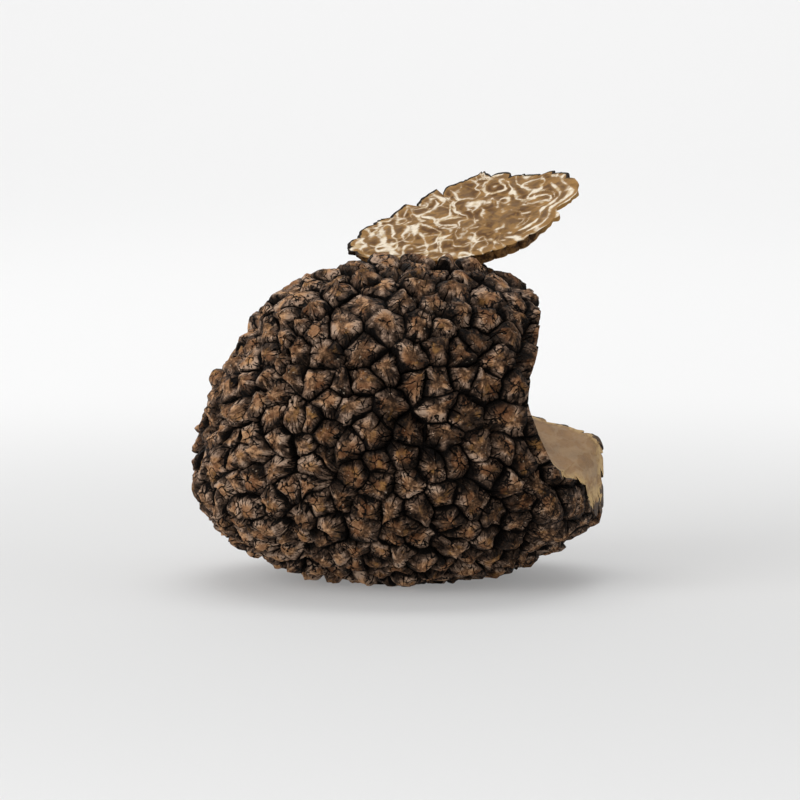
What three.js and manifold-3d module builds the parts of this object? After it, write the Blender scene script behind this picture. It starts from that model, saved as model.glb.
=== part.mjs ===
// Black truffle with one side cut away, and a thin slice of truffle lying on its crown.
//
// Millimetres, +Z up, standing on the plane z = 0. The front faces -Y, the cut is at +X.
// The bark is made of many-sided pyramid warts. Each wart is one cell of a pattern that fills
// the whole surface: every place belongs to the wart whose middle is nearest. The cell's border
// is pressed in as a groove, the cell itself stands up as a block with a low pointed top.

import * as THREE from 'three';
import { ConvexHull } from 'three/addons/math/ConvexHull.js';
import { mergeVertices } from 'three/addons/utils/BufferGeometryUtils.js';
import Module from 'manifold-3d';

const wasm = await Module();
wasm.setup();

// ---------------------------------------------------------------- driving dimensions

// Fruiting body: the middle that its radii are measured from, 24 mm above the table.
const BODY_CENTRE = new THREE.Vector3(-0.16, -0.33, 24);

// Radii of the front outline, one every 22.5 degrees from +X over the top, before the cut.
const OUTLINE_RADII = [
  32.8, 31.6, 28.7, 26.4, 24.8, 25.2, 26.4, 27.2, 29.7, 32.5, 29.2, 26, 25.2, 26.4, 29.9, 33.3,
];
const DEPTH_TO_FRONT = 25.5;
const DEPTH_TO_BACK = 25;
// 2 would make the body an ellipsoid, more makes it fuller.
const FULLNESS = 2.3;

// Swellings and hollows of the surface. The first is the hump at the back of the crown, which
// the slice leans on, the next two are the haunches on either side of the upright fold.
const SWELLINGS = [
  { towards: new THREE.Vector3(0.18, 0.5, 0.85), height: 3.4, spread: 0.2 },
  { towards: new THREE.Vector3(-0.66, -0.63, -0.36), height: 0.9, spread: 0.32 },
  { towards: new THREE.Vector3(0.15, -0.88, -0.42), height: 0.9, spread: 0.35 },
  { towards: new THREE.Vector3(-0.5, 0.85, 0.1), height: 1.8, spread: 0.45 },
  { towards: new THREE.Vector3(0.45, 0.82, -0.35), height: 1.3, spread: 0.4 },
  { towards: new THREE.Vector3(-0.02, 0.97, -0.2), height: -1.3, spread: 0.3 },
];

// Folds: arcs along which the surface is drawn in. The first is the one in the crown that the
// slice stands in, the second runs down the front at the left.
const FOLDS = [
  { from: new THREE.Vector3(-9, 5, 22), to: new THREE.Vector3(15, 2, 21), depth: 3.2, width: 0.12 },
  { from: new THREE.Vector3(-14, -21, -3), to: new THREE.Vector3(-14, -14, -20), depth: 1.3, width: 0.05 },
];

// Warts
const WART_SEED = 20731;
const DART_COUNT = 16000;
const WART_SPACING = 3.72;
const SPACING_SPREAD = 0.28;
// Warts are coarser on the side that this points to and finer on the other.
const COARSE_SIDE = new THREE.Vector3(0.6, -0.4, 0.5).normalize();
const COARSENESS = 0.14;
const GROOVE_DEPTH = 1.25;
const BLOCK_SHARE = 0.8;
const POINT_RISE = 0.55;
const RISE_SPREAD = 0.45;
const POINT_DRIFT = 0.3;
// The outline radii are taken over the warts, so the bark lies this much inside them.
const BARK_DEPTH = 0.1;

// The cut at the right, seen from the front: upright wall, round inside corner, sloping ledge.
const CUT_PROFILE = [
  [22.2, 27], [18.5, 16.3], [16.6, 11], [16, 7.3], [16.9, 4.2], [18.2, 1.2], [20, -2],
  [22.8, -3.9], [25.9, -4.6], [30, -4.9], [38, -5.4],
];
const CUT_CURVE_STEPS = 3;
const CUT_REACH = 60;
// Going one millimetre back, the cut moves this much to the left and up.
const CUT_SWING = -0.15;
const CUT_CLIMB = 0.133;

// The shaving at the right end: the plane's outward normal and a point on it.
const SHAVING_NORMAL = new THREE.Vector3(0.97, -0.2, 0.127).normalize();
const SHAVING_POINT = new THREE.Vector3(30.7, 0, -10.5);

// Slice: its outline seen from above, its slope to the right and to the back, its thickness.
const SLICE_OUTLINE = [
  [-7.6, 9.8], [-5, 6.2], [0, 3], [9, 1.2], [14.3, 1.2], [18.5, 2.6], [21.9, 4.8], [24.3, 7.4], [24.1, 9.9],
  [26.6, 11.4], [27.5, 16], [24.5, 21.2], [20.4, 22], [16, 25], [11.9, 25.7], [4.6, 22.3], [-1.8, 17.6], [-5.2, 14.6],
];
const SLICE_CENTRE = [10, 13.5];
const SLICE_HEIGHT = 24.1;
const SLICE_RISE_RIGHT = 0.2;
const SLICE_RISE_BACK = 0.42;
const SLICE_FOOT = 4;
const SLICE_THICKNESS = 1.6;
const SLICE_CURL = 0.0022;
const SLICE_STEPS = 130;
const SLICE_RINGS = [1, 0.82, 0.42];
// The skin round the slice is scalloped, since it was cut through warts and grooves.
const SCALLOP_COUNT = 26;
const SCALLOP_NARROWEST = 0.5;
const SCALLOP_DEPTH = 1;
const SCALLOP_REST = 0.45;
const SCALLOP_SEED = 4409;
// Clearance kept between the slice and the warts under it.
const CLEARANCE = 0.35;
const FREE_SPACE_ABOVE = 9;

// ---------------------------------------------------------------- materials

const bark = new THREE.MeshStandardMaterial({ color: 0x3d2e24, roughness: 0.82, metalness: 0 });
const sliceFlesh = new THREE.MeshStandardMaterial({ color: 0x9a7a52, roughness: 0.6, metalness: 0 });

// ---------------------------------------------------------------- seeded chance

const CHANCE_MULTIPLIER = 16807;
const CHANCE_MODULUS = 2147483647;

/** Returns a function that gives the same run of numbers from 0 to 1 for the same seed. */
function makeChance(seed) {
  let state = seed;
  return () => {
    state = (state * CHANCE_MULTIPLIER) % CHANCE_MODULUS;
    return state / CHANCE_MODULUS;
  };
}

/** A direction with every direction equally likely. */
function anyDirection(chance) {
  const height = 2 * chance() - 1;
  const turn = 2 * Math.PI * chance();
  const across = Math.sqrt(1 - height * height);
  return new THREE.Vector3(across * Math.cos(turn), across * Math.sin(turn), height);
}

// ---------------------------------------------------------------- body without warts

/** Smooth periodic curve through the outline radii, at an angle seen from the front. */
function outlineRadius(angle) {
  const count = OUTLINE_RADII.length;
  const place = ((angle / (2 * Math.PI)) * count + count) % count;
  const index = Math.floor(place);
  const t = place - index;
  const [before, here, next, after] = [-1, 0, 1, 2].map((step) => OUTLINE_RADII[(index + step + count) % count]);
  const bend = (2 * before - 5 * here + 4 * next - after) * t * t;
  const twist = (3 * here - before - 3 * next + after) * t * t * t;
  return 0.5 * (2 * here + (next - before) * t + bend + twist);
}

/** Angle between a direction and the nearest place on the arc of a fold. */
function angleToFold(direction, fold) {
  const from = fold.from.clone().normalize();
  const to = fold.to.clone().normalize();
  const pole = new THREE.Vector3().crossVectors(from, to).normalize();
  const onArc = direction.clone().addScaledVector(pole, -direction.dot(pole)).normalize();
  const past = new THREE.Vector3().crossVectors(from, onArc).dot(pole) < 0
    || new THREE.Vector3().crossVectors(onArc, to).dot(pole) < 0;
  return past ? Math.min(direction.angleTo(from), direction.angleTo(to)) : direction.angleTo(onArc);
}

/** Distance from the body's middle to its surface, with its swellings and folds. */
function bodyRadius(direction) {
  const across = Math.hypot(direction.x, direction.z) / outlineRadius(Math.atan2(direction.z, direction.x));
  const along = Math.abs(direction.y) / (direction.y < 0 ? DEPTH_TO_FRONT : DEPTH_TO_BACK);
  let radius = (across ** FULLNESS + along ** FULLNESS) ** (-1 / FULLNESS) - BARK_DEPTH;
  for (const swelling of SWELLINGS) {
    const away = direction.angleTo(swelling.towards.clone().normalize());
    radius += swelling.height * Math.exp(-((away / swelling.spread) ** 2));
  }
  for (const fold of FOLDS) {
    radius -= fold.depth * Math.exp(-((angleToFold(direction, fold) / fold.width) ** 2));
  }
  return radius;
}

/** A point over the surface by the given rise, in a direction from the body's middle. */
function surfacePoint(direction, rise) {
  return direction.clone().multiplyScalar(bodyRadius(direction) + rise);
}

// ---------------------------------------------------------------- warts

/** Throws darts at the body. Each that lands clear of the earlier ones becomes a wart. */
function growWarts() {
  const chance = makeChance(WART_SEED);
  const warts = [];
  for (let dart = 0; dart < DART_COUNT; dart += 1) {
    const direction = anyDirection(chance);
    const size = 1 + SPACING_SPREAD * (2 * chance() - 1) + COARSENESS * direction.dot(COARSE_SIDE);
    const place = surfacePoint(direction, 0);
    if (warts.every((wart) => wart.place.distanceTo(place) > WART_SPACING * size)) {
      warts.push({ direction, place, corners: [] });
    }
  }
  return warts;
}

/**
 * Finds where the grooves meet. The hull of the wart directions is made of triangles, and the
 * normal of a triangle points to the place that lies equally far from its three warts.
 */
function findCorners(warts) {
  const hull = new ConvexHull().setFromPoints(warts.map((wart) => wart.direction));
  const wartAt = new Map(warts.map((wart) => [wart.direction, wart]));
  return hull.faces.map((face) => {
    const corner = { direction: face.normal.clone().normalize() };
    for (const step of [0, 1, 2]) {
      wartAt.get(face.getEdge(step).head().point).corners.push(corner);
    }
    return corner;
  });
}

/** Sorts a wart's corners so that they run counter-clockwise, seen from outside. */
function sortCorners(wart) {
  const side = new THREE.Vector3().crossVectors(wart.direction, wart.corners[0].direction).normalize();
  const ahead = new THREE.Vector3().crossVectors(side, wart.direction);
  const turn = (corner) => Math.atan2(corner.direction.dot(side), corner.direction.dot(ahead));
  wart.corners.sort((first, second) => turn(first) - turn(second));
}

/** The whole bark as one closed mesh: a groove, four-sided flanks and a pointed top for each wart. */
function barkGeometry() {
  const warts = growWarts();
  const corners = findCorners(warts);
  const chance = makeChance(WART_SEED);
  const positions = [];
  const triangles = [];
  const addPoint = (point) => positions.push(point.x, point.y, point.z) / 3 - 1;

  for (const corner of corners) {
    corner.index = addPoint(surfacePoint(corner.direction, -GROOVE_DEPTH));
  }
  for (const wart of warts) {
    sortCorners(wart);
    const rise = POINT_RISE * (1 + RISE_SPREAD * (2 * chance() - 1));
    const drift = wart.corners[0].direction.clone().sub(wart.direction).multiplyScalar(POINT_DRIFT * chance());
    const point = addPoint(surfacePoint(wart.direction.clone().add(drift).normalize(), rise));
    const rim = wart.corners.map((corner) => {
      const direction = wart.direction.clone().lerp(corner.direction, BLOCK_SHARE).normalize();
      return addPoint(surfacePoint(direction, 0));
    });
    wart.corners.forEach((corner, here) => {
      const next = (here + 1) % wart.corners.length;
      const nextCorner = wart.corners[next];
      triangles.push(corner.index, nextCorner.index, rim[next]);
      triangles.push(corner.index, rim[next], rim[here]);
      triangles.push(rim[here], rim[next], point);
    });
  }
  const geometry = new THREE.BufferGeometry();
  geometry.setAttribute('position', new THREE.Float32BufferAttribute(positions, 3));
  geometry.setIndex(triangles);
  return geometry;
}

// ---------------------------------------------------------------- cutting

/** A closed three.js geometry as a solid that can be cut. */
function toSolid(geometry) {
  const bare = geometry.clone();
  bare.deleteAttribute('normal');
  bare.deleteAttribute('uv');
  const merged = mergeVertices(bare);
  const vertProperties = new Float32Array(merged.attributes.position.array);
  const triVerts = new Uint32Array(merged.index.array);
  return new wasm.Manifold(new wasm.Mesh({ numProp: 3, vertProperties, triVerts }));
}

/** A cut solid as a three.js geometry. */
function toGeometry(solid) {
  const mesh = solid.getMesh();
  const geometry = new THREE.BufferGeometry();
  geometry.setAttribute('position', new THREE.BufferAttribute(mesh.vertProperties, 3));
  geometry.setIndex(new THREE.BufferAttribute(mesh.triVerts, 1));
  geometry.computeVertexNormals();
  return geometry;
}

/** What the knife took from the right: the cut profile swept from front to back. */
function cutAwaySide() {
  const profile = new THREE.Shape();
  const points = CUT_PROFILE.map(([x, z]) => new THREE.Vector2(x, z));
  profile.moveTo(points[0].x, points[0].y);
  profile.splineThru(points.slice(1));
  profile.lineTo(CUT_REACH, points[0].y);
  const geometry = new THREE.ExtrudeGeometry(profile, {
    depth: CUT_REACH, steps: 1, curveSegments: CUT_CURVE_STEPS, bevelEnabled: false,
  });
  geometry.translate(0, 0, -CUT_REACH / 2);
  const right = new THREE.Vector3(1, 0, 0);
  const up = new THREE.Vector3(0, 0, 1);
  const sweep = new THREE.Vector3(-CUT_SWING, -1, -CUT_CLIMB);
  return geometry.applyMatrix4(new THREE.Matrix4().makeBasis(right, up, sweep));
}

/** What the shaving took: everything past its plane. */
function shavedOffEnd() {
  const geometry = new THREE.BoxGeometry(CUT_REACH, CUT_REACH, CUT_REACH);
  geometry.translate(CUT_REACH / 2, 0, 0);
  const turn = new THREE.Quaternion().setFromUnitVectors(new THREE.Vector3(1, 0, 0), SHAVING_NORMAL);
  geometry.applyQuaternion(turn);
  return geometry.translate(SHAVING_POINT.x, SHAVING_POINT.y, SHAVING_POINT.z);
}

/** Everything below the table, which leaves the flat spot that the body rests on. */
function underTable() {
  const geometry = new THREE.BoxGeometry(2 * CUT_REACH, 2 * CUT_REACH, CUT_REACH);
  return geometry.translate(0, 0, -CUT_REACH / 2 - BODY_CENTRE.z);
}

// ---------------------------------------------------------------- slice

/** How far the skin stands out from the slice's outline at each step round it. */
function scallops() {
  const chance = makeChance(SCALLOP_SEED);
  const widths = Array.from({ length: SCALLOP_COUNT }, () => SCALLOP_NARROWEST + chance());
  const total = widths.reduce((sum, width) => sum + width, 0);
  const rises = [];
  let edge = 0;
  for (const width of widths) {
    const share = width / total;
    const last = Math.min(Math.ceil((edge + share) * SLICE_STEPS), SLICE_STEPS);
    for (let step = rises.length; step < last; step += 1) {
      const along = Math.min(Math.max((step / SLICE_STEPS - edge) / share, 0), 1);
      rises.push(SCALLOP_DEPTH * Math.sqrt(Math.sin(Math.PI * along)) - SCALLOP_REST);
    }
    edge += share;
  }
  return rises;
}

/** The slice as a closed solid, grown outwards and given more room below and above where asked. */
function sliceGeometry(grow, below, above) {
  const corners = SLICE_OUTLINE.map(([x, y]) => new THREE.Vector3(x - SLICE_CENTRE[0], y - SLICE_CENTRE[1], 0));
  const curve = new THREE.CatmullRomCurve3(corners, true, 'catmullrom');
  const outline = curve.getSpacedPoints(SLICE_STEPS).slice(0, SLICE_STEPS);
  const rises = scallops();
  const normal = new THREE.Vector3(-SLICE_RISE_RIGHT, -SLICE_RISE_BACK, 1).normalize();
  const positions = [];
  const triangles = [];

  const addPoint = (x, y, lift) => {
    const rise = SLICE_RISE_RIGHT * (x + SLICE_CENTRE[0]) + SLICE_RISE_BACK * (y + SLICE_CENTRE[1] - SLICE_FOOT);
    const top = new THREE.Vector3(x + SLICE_CENTRE[0], y + SLICE_CENTRE[1], SLICE_HEIGHT + rise + SLICE_CURL * x * x);
    top.addScaledVector(normal, lift);
    return positions.push(top.x, top.y, top.z) / 3 - 1;
  };
  const addFace = (lift) => {
    const rings = SLICE_RINGS.map((share) => outline.map((point, step) => {
      const reach = (1 + (rises[step] + grow) / point.length()) * share;
      return addPoint(point.x * reach, point.y * reach, lift);
    }));
    return { rings, middle: addPoint(0, 0, lift) };
  };
  const upper = addFace(above);
  const lower = addFace(-SLICE_THICKNESS - below);

  for (let step = 0; step < SLICE_STEPS; step += 1) {
    const next = (step + 1) % SLICE_STEPS;
    const addSquare = (a, b) => triangles.push(a[step], b[step], b[next], a[step], b[next], a[next]);
    addSquare(upper.rings[0], lower.rings[0]);
    for (let ring = 1; ring < SLICE_RINGS.length; ring += 1) {
      addSquare(upper.rings[ring], upper.rings[ring - 1]);
      addSquare(lower.rings[ring - 1], lower.rings[ring]);
    }
    triangles.push(upper.rings.at(-1)[step], upper.rings.at(-1)[next], upper.middle);
    triangles.push(lower.rings.at(-1)[next], lower.rings.at(-1)[step], lower.middle);
  }
  const geometry = new THREE.BufferGeometry();
  geometry.setAttribute('position', new THREE.Float32BufferAttribute(positions, 3));
  geometry.setIndex(triangles);
  return geometry;
}

// ---------------------------------------------------------------- pieces

/** The fruiting body with its cut, its flat spot and room for the slice in the fold. */
function makeTruffle() {
  const whole = toSolid(barkGeometry());
  const slicePlace = toSolid(sliceGeometry(CLEARANCE, CLEARANCE, FREE_SPACE_ABOVE));
  const cut = whole
    .subtract(toSolid(cutAwaySide()))
    .subtract(toSolid(shavedOffEnd()))
    .subtract(toSolid(underTable()))
    .subtract(slicePlace);
  const mesh = new THREE.Mesh(toGeometry(cut), bark);
  mesh.name = 'truffle';
  return mesh;
}

/** The slice, which stands in the fold of the crown and leans on the hump behind it. */
function makeSlice() {
  const geometry = sliceGeometry(0, 0, 0);
  geometry.computeVertexNormals();
  const mesh = new THREE.Mesh(geometry, sliceFlesh);
  mesh.name = 'slice';
  return mesh;
}

const group = new THREE.Group();
group.position.copy(BODY_CENTRE);
group.add(makeTruffle(), makeSlice());

export default group;
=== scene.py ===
"""Black truffle with one side cut away, and a thin slice of truffle lying on its crown.

Lengths are in millimetres until a mesh is finished, then they are turned into metres.
Directions and radii are measured from the body's middle, 24 mm above the table.
"""
import math
from functools import partial, reduce
from itertools import product

import bmesh
import bpy
import numpy as np
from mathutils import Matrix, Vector


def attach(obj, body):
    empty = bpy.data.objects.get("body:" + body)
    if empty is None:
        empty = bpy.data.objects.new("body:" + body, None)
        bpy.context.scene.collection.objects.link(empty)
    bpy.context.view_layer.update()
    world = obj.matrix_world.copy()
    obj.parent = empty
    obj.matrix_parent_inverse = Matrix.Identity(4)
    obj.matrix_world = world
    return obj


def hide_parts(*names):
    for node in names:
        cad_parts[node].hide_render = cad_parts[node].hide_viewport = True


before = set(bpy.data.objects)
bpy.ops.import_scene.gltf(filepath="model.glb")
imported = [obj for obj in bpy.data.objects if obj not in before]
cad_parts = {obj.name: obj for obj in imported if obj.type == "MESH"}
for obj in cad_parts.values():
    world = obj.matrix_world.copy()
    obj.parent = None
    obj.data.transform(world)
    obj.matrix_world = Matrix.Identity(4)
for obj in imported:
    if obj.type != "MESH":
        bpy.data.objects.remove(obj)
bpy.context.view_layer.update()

# ---- the truffle's bark
# A truffle is one closed fruiting body with a hard dark bark. The bark grows as many-sided
# pyramid warts. Every place belongs to the wart whose middle is nearest, and a deep narrow
# groove runs along each border. Shallower fissures run from the grooves up the warts' flanks.

MILLIMETRE = 0.001
BODY_CENTRE = np.array([-0.16, -0.33, 24.0])
OUTLINE_RADII = np.array([
    32.8, 31.6, 28.7, 26.4, 24.8, 25.2, 26.4, 27.2, 29.7, 32.5, 29.2, 26.0, 25.2, 26.4, 29.9, 33.3,
])
DEPTH_TO_FRONT = 25.5
DEPTH_TO_BACK = 25.0
FULLNESS = 2.3
BARK_DEPTH = 0.1
SWELLINGS = [
    {"towards": (0.18, 0.5, 0.85), "height": 3.4, "spread": 0.2},
    {"towards": (-0.66, -0.63, -0.36), "height": 0.9, "spread": 0.32},
    {"towards": (0.15, -0.88, -0.42), "height": 0.9, "spread": 0.35},
    {"towards": (-0.5, 0.85, 0.1), "height": 1.8, "spread": 0.45},
    {"towards": (0.45, 0.82, -0.35), "height": 1.3, "spread": 0.4},
    {"towards": (-0.02, 0.97, -0.2), "height": -1.3, "spread": 0.3},
]
FOLDS = [
    {"start": (-9, 5, 22), "end": (15, 2, 21), "depth": 3.2, "width": 0.12},
    {"start": (-14, -21, -3), "end": (-14, -14, -20), "depth": 1.3, "width": 0.05},
]
WART_SEED = 20731
DART_COUNT = 16000
WART_SPACING = 3.72
SPACING_SPREAD = 0.28
COARSE_SIDE = (0.6, -0.4, 0.5)
COARSENESS = 0.14
CHANCE_MULTIPLIER = 16807
CHANCE_MODULUS = 2147483647


def lengths(vectors):
    """How long each vector is."""
    return np.linalg.norm(vectors, axis=-1)


def unit(vectors):
    """Vectors divided by their own lengths."""
    return np.asarray(vectors, float) / lengths(vectors)[..., None]


def chances(seed, count):
    """A run of numbers from 0 to 1. Each state is multiplier * the state before it, modulo the modulus."""
    states = []
    state = seed
    for _ in range(count):
        state = state * CHANCE_MULTIPLIER % CHANCE_MODULUS
        states.append(state)
    return np.array(states) / CHANCE_MODULUS


def catmull_rom(a, b, c, d, t):
    """The smooth line from b to c, at a share t of the way, with a before it and d after it:
    half of (2b + (c - a)t + (2a - 5b + 4c - d)t^2 + (3b - a - 3c + d)t^3)."""
    return 0.5 * (2 * b + (c - a) * t + (2 * a - 5 * b + 4 * c - d) * t**2 + (3 * b - a - 3 * c + d) * t**3)


def outline_radius(angle):
    """Smooth closed curve through the outline radii, at an angle seen from the front."""
    count = len(OUTLINE_RADII)
    place = angle / (2 * math.pi) * count % count
    index = np.floor(place).astype(int)
    return catmull_rom(*(OUTLINE_RADII[(index + step) % count] for step in (-1, 0, 1, 2)), place - index)


def angle_between(first, second):
    """Angle between unit vectors."""
    return np.arccos(np.clip(np.sum(first * second, axis=-1), -1, 1))


def angle_to_fold(directions, fold):
    """Angle from each direction to the nearest place on the arc of a fold."""
    start, end = unit(fold["start"]), unit(fold["end"])
    pole = unit(np.cross(start, end))
    on_arc = unit(directions - (directions @ pole)[..., None] * pole)
    past = (np.cross(start, on_arc) @ pole < 0) | (np.cross(on_arc, end) @ pole < 0)
    to_ends = np.minimum(angle_between(directions, start), angle_between(directions, end))
    return np.where(past, to_ends, angle_between(directions, on_arc))


def body_radius(directions):
    """Radius of the body: a rounded form through the outline and the two depths,
    raised by each swelling and lowered by each fold as height times exp(-(angle / width) squared)."""
    x, y, z = np.moveaxis(directions, -1, 0)
    across = np.hypot(x, z) / outline_radius(np.arctan2(z, x))
    along = np.abs(y) / np.where(y < 0, DEPTH_TO_FRONT, DEPTH_TO_BACK)
    radius = (across**FULLNESS + along**FULLNESS) ** (-1 / FULLNESS) - BARK_DEPTH
    for swelling in SWELLINGS:
        away = angle_between(directions, unit(swelling["towards"]))
        radius = radius + swelling["height"] * np.exp(-((away / swelling["spread"]) ** 2))
    for fold in FOLDS:
        radius = radius - fold["depth"] * np.exp(-((angle_to_fold(directions, fold) / fold["width"]) ** 2))
    return radius


def grow_warts():
    """Directions of the warts. Darts are thrown evenly over the sphere, at height 2c - 1 and turn 2 pi c.
    Each that lands clear of the earlier ones stays. Needs about one step for each dart."""
    draws = chances(WART_SEED, 3 * DART_COUNT).reshape(-1, 3)
    height = 2 * draws[:, 0] - 1
    turn = 2 * math.pi * draws[:, 1]
    across = np.sqrt(1 - height**2)
    darts = np.stack([across * np.cos(turn), across * np.sin(turn), height], axis=1)
    coarse = 1 + SPACING_SPREAD * (2 * draws[:, 2] - 1) + COARSENESS * darts @ unit(COARSE_SIDE)
    room = WART_SPACING * coarse
    places = darts * body_radius(darts)[:, None]
    kept = []
    for dart in range(DART_COUNT):
        if np.all(lengths(places[kept] - places[dart]) > room[dart]):
            kept.append(dart)
    return darts[kept]


def meeting_places(warts):
    """Triples of neighbouring warts, counter-clockwise from outside: the hull of their directions."""
    mesh = bpy.data.meshes.new("wart hull")
    mesh.from_pydata(warts.tolist(), [], [])
    hull = bmesh.new()
    hull.from_mesh(mesh)
    bmesh.ops.convex_hull(hull, input=hull.verts)
    bmesh.ops.triangulate(hull, faces=hull.faces)
    hull.to_mesh(mesh)
    hull.free()
    triples = np.empty(3 * len(mesh.polygons), int)
    mesh.polygons.foreach_get("vertices", triples)
    bpy.data.meshes.remove(mesh)
    triples = triples.reshape(-1, 3)
    a, b, c = (warts[triples[:, step]] for step in range(3))
    inside_out = np.sum(np.cross(b - a, c - a) * a, axis=1) < 0
    triples[inside_out] = triples[inside_out][:, ::-1]
    return triples


def soft_noise(points, size, seed):
    """Noise from -1 to 1. Each corner of a lattice of cubes of that size has a chance value,
    and the eight values round a point are blended by 3t^2 - 2t^3 along each axis."""
    place = points / size
    low = np.floor(place).astype(np.int64)
    blend = (place - low) ** 2 * (3 - 2 * (place - low))
    values = np.random.default_rng(seed).uniform(-1, 1, 4096)
    total = np.zeros(points.shape[:-1])
    for corner in product((0, 1), repeat=3):
        x, y, z = np.moveaxis(low + corner, -1, 0)
        index = (x * 73856093 ^ y * 19349663 ^ z * 83492791) % len(values)
        total += values[index] * np.prod(np.where(corner, blend, 1 - blend), axis=-1)
    return total


def soft_drift(points, size, seed):
    """Three noises, one for each axis."""
    return np.stack([soft_noise(points, size, seed + axis) for axis in range(3)], axis=-1)


GROOVE_HALF_WIDTH = (0.06, 0.27)
JUNCTION_HALF_WIDTH = 0.32
GROOVE_DEPTH = (0.1, 1.7)
JUNCTION_DEPTH = 1.6
POINT_RISE = (0.3, 1.3)
WART_LIFT = 0.3
WART_TILT = 0.17
SHOULDER_DROP = 0.22
FACET_BEND = (-0.62, 0.38)
FISSURE_HALF_WIDTH = 0.19
FISSURE_DEPTH = 1.0
FISSURE_CHANCE = 0.6
FISSURE_PLACE = (0.3, 0.7)
FISSURE_WIDEST = 0.12
FISSURE_STRENGTH = (0.4, 1.0)
FISSURE_RINGS = np.array([0.2, 0.7, 1.0, 1.0])
END_FADE = 2.5
DEPTH_EVENNESS = 0.7
BLOCK_LIMITS = (0.6, 0.96)
TOP_SHARPNESS = (0.35, 1.1)
FACET_CURVE = 1.5
OFF_AXIS = (0.31, 0.17, 0.94)
BLOCK_RINGS = np.array([0, 0.28, 0.55, 0.8, 1.0])
WART_SINK = 0.35
DRIFTS = [{"size": 3.1, "reach": 0.7}, {"size": 1.3, "reach": 0.3}]
ROUGHNESSES = [{"size": 1.3, "reach": 0.2}, {"size": 0.6, "reach": 0.13}]


def between(limits, share):
    """The value that is a share of the way from the first limit to the second."""
    return limits[0] + (limits[1] - limits[0]) * share


def bark_grid():
    """The bark as one grid for each pair of neighbouring warts, seen from the first of the two.

    The grid runs from the wart's middle (share 0) to the border (share 1), and along the border
    from one meeting place to the next. On the block, up to 1 - groove width / reach, its height is
    rise * (1 - share on the block) + lift + tilt, less the drop of the shoulder and the fissure.
    Each side of the wart is bent in or out by bend * share on the block^curve, fading to its two ends.
    At the border it is minus the groove's depth, which blends into the junction's depth at both ends.
    """
    warts = grow_warts()
    count = len(warts)
    triples = meeting_places(warts)
    a, b, c = (warts[triples[:, step]] for step in range(3))
    meetings = unit(np.cross(b - a, c - a))

    own = triples.ravel()
    other = np.roll(triples, -1, axis=1).ravel()
    ahead = np.repeat(np.arange(len(triples)), 3)
    order = np.argsort(own * count + other)
    twin = order[np.searchsorted(own[order] * count + other[order], other * count + own)]
    behind = ahead[twin]
    first = np.minimum(own, other) * count + np.maximum(own, other)
    border = np.unique(first, return_inverse=True)[1]

    draw = np.random.default_rng(WART_SEED)
    border_count = border.max() + 1
    depth_chance, width_chance, place_chance = draw.random((3, border_count))[:, border]
    fissured = draw.random(len(own)) < FISSURE_CHANCE
    fissure_chance = draw.random(len(own))
    bend = between(FACET_BEND, draw.random(len(own)))
    rise_chance, lift_chance, top_chance, tone = draw.random((4, count))[:, own]
    tilt = draw.normal(0, WART_TILT, (count, 2))[own]
    own_place = warts[own] * body_radius(warts[own])[:, None]

    ends = meetings[behind], meetings[ahead]
    end_places = [end * body_radius(end)[:, None] for end in ends]
    length = lengths(end_places[0] - end_places[1])
    middle = between(FISSURE_PLACE, place_chance)
    middle = np.where(own < other, middle, 1 - middle)
    half = np.minimum(FISSURE_HALF_WIDTH / length, FISSURE_WIDEST)
    low, high = middle - half, middle + half
    columns = np.stack([0 * middle, low / 2, low, middle, high, (1 + high) / 2, 0 * middle + 1], axis=1)
    at_border = unit(ends[0][:, None] * (1 - columns[..., None]) + ends[1][:, None] * columns[..., None])
    border_place = at_border * body_radius(at_border)[..., None]

    to_end = np.abs(2 * columns - 1) ** END_FADE
    groove = between((between(GROOVE_HALF_WIDTH, width_chance)[:, None], JUNCTION_HALF_WIDTH), to_end)
    depth = between((between(GROOVE_DEPTH, depth_chance**DEPTH_EVENNESS)[:, None], JUNCTION_DEPTH), to_end)
    reach = lengths(border_place - own_place[:, None])
    block = np.clip(1 - groove / reach, *BLOCK_LIMITS)

    block_share = np.append(BLOCK_RINGS, 1)
    on_block = np.append(np.ones(len(BLOCK_RINGS)), 0)
    share = np.concatenate([block[:, None] * BLOCK_RINGS[:, None], np.ones_like(block)[:, None]], axis=1)
    top = warts[own][:, None, None]
    directions = unit(top * (1 - share[..., None]) + at_border[:, None] * share[..., None])

    side = unit(np.cross(warts[own], OFF_AXIS))
    up = np.cross(warts[own], side)
    places = directions * body_radius(directions)[..., None]
    from_middle = places - own_place[:, None, None]
    local = np.stack([np.sum(from_middle * axis[:, None, None], -1) for axis in (side, up)], -1)

    rise = between(POINT_RISE, rise_chance)[:, None] * (1 - block_share)
    rise[:, 0] *= between(TOP_SHARPNESS, top_chance)
    height = np.repeat(rise[:, :, None], columns.shape[1], axis=2)
    height += (WART_LIFT * (2 * lift_chance - 1))[:, None, None] + np.sum(local * tilt[:, None, None], -1)
    height[:, 4] -= SHOULDER_DROP
    height += bend[:, None, None] * (block_share**FACET_CURVE)[:, None] * (1 - to_end)[:, None]
    height -= WART_SINK
    fissure = np.zeros_like(height)
    fissure[:, 1:5, 3] = (fissured * between(FISSURE_STRENGTH, fissure_chance))[:, None] * FISSURE_RINGS
    height -= FISSURE_DEPTH * fissure
    height = height * on_block[:, None] - depth[:, None] * (1 - on_block[:, None])
    return {
        "points": places + directions * height[..., None],
        "share": share,
        "fissure": fissure,
        "tone": np.broadcast_to(tone[:, None, None], share.shape),
        "deep": np.broadcast_to(depth[:, None] / GROOVE_DEPTH[1], share.shape),
        "local": local,
    }


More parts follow.
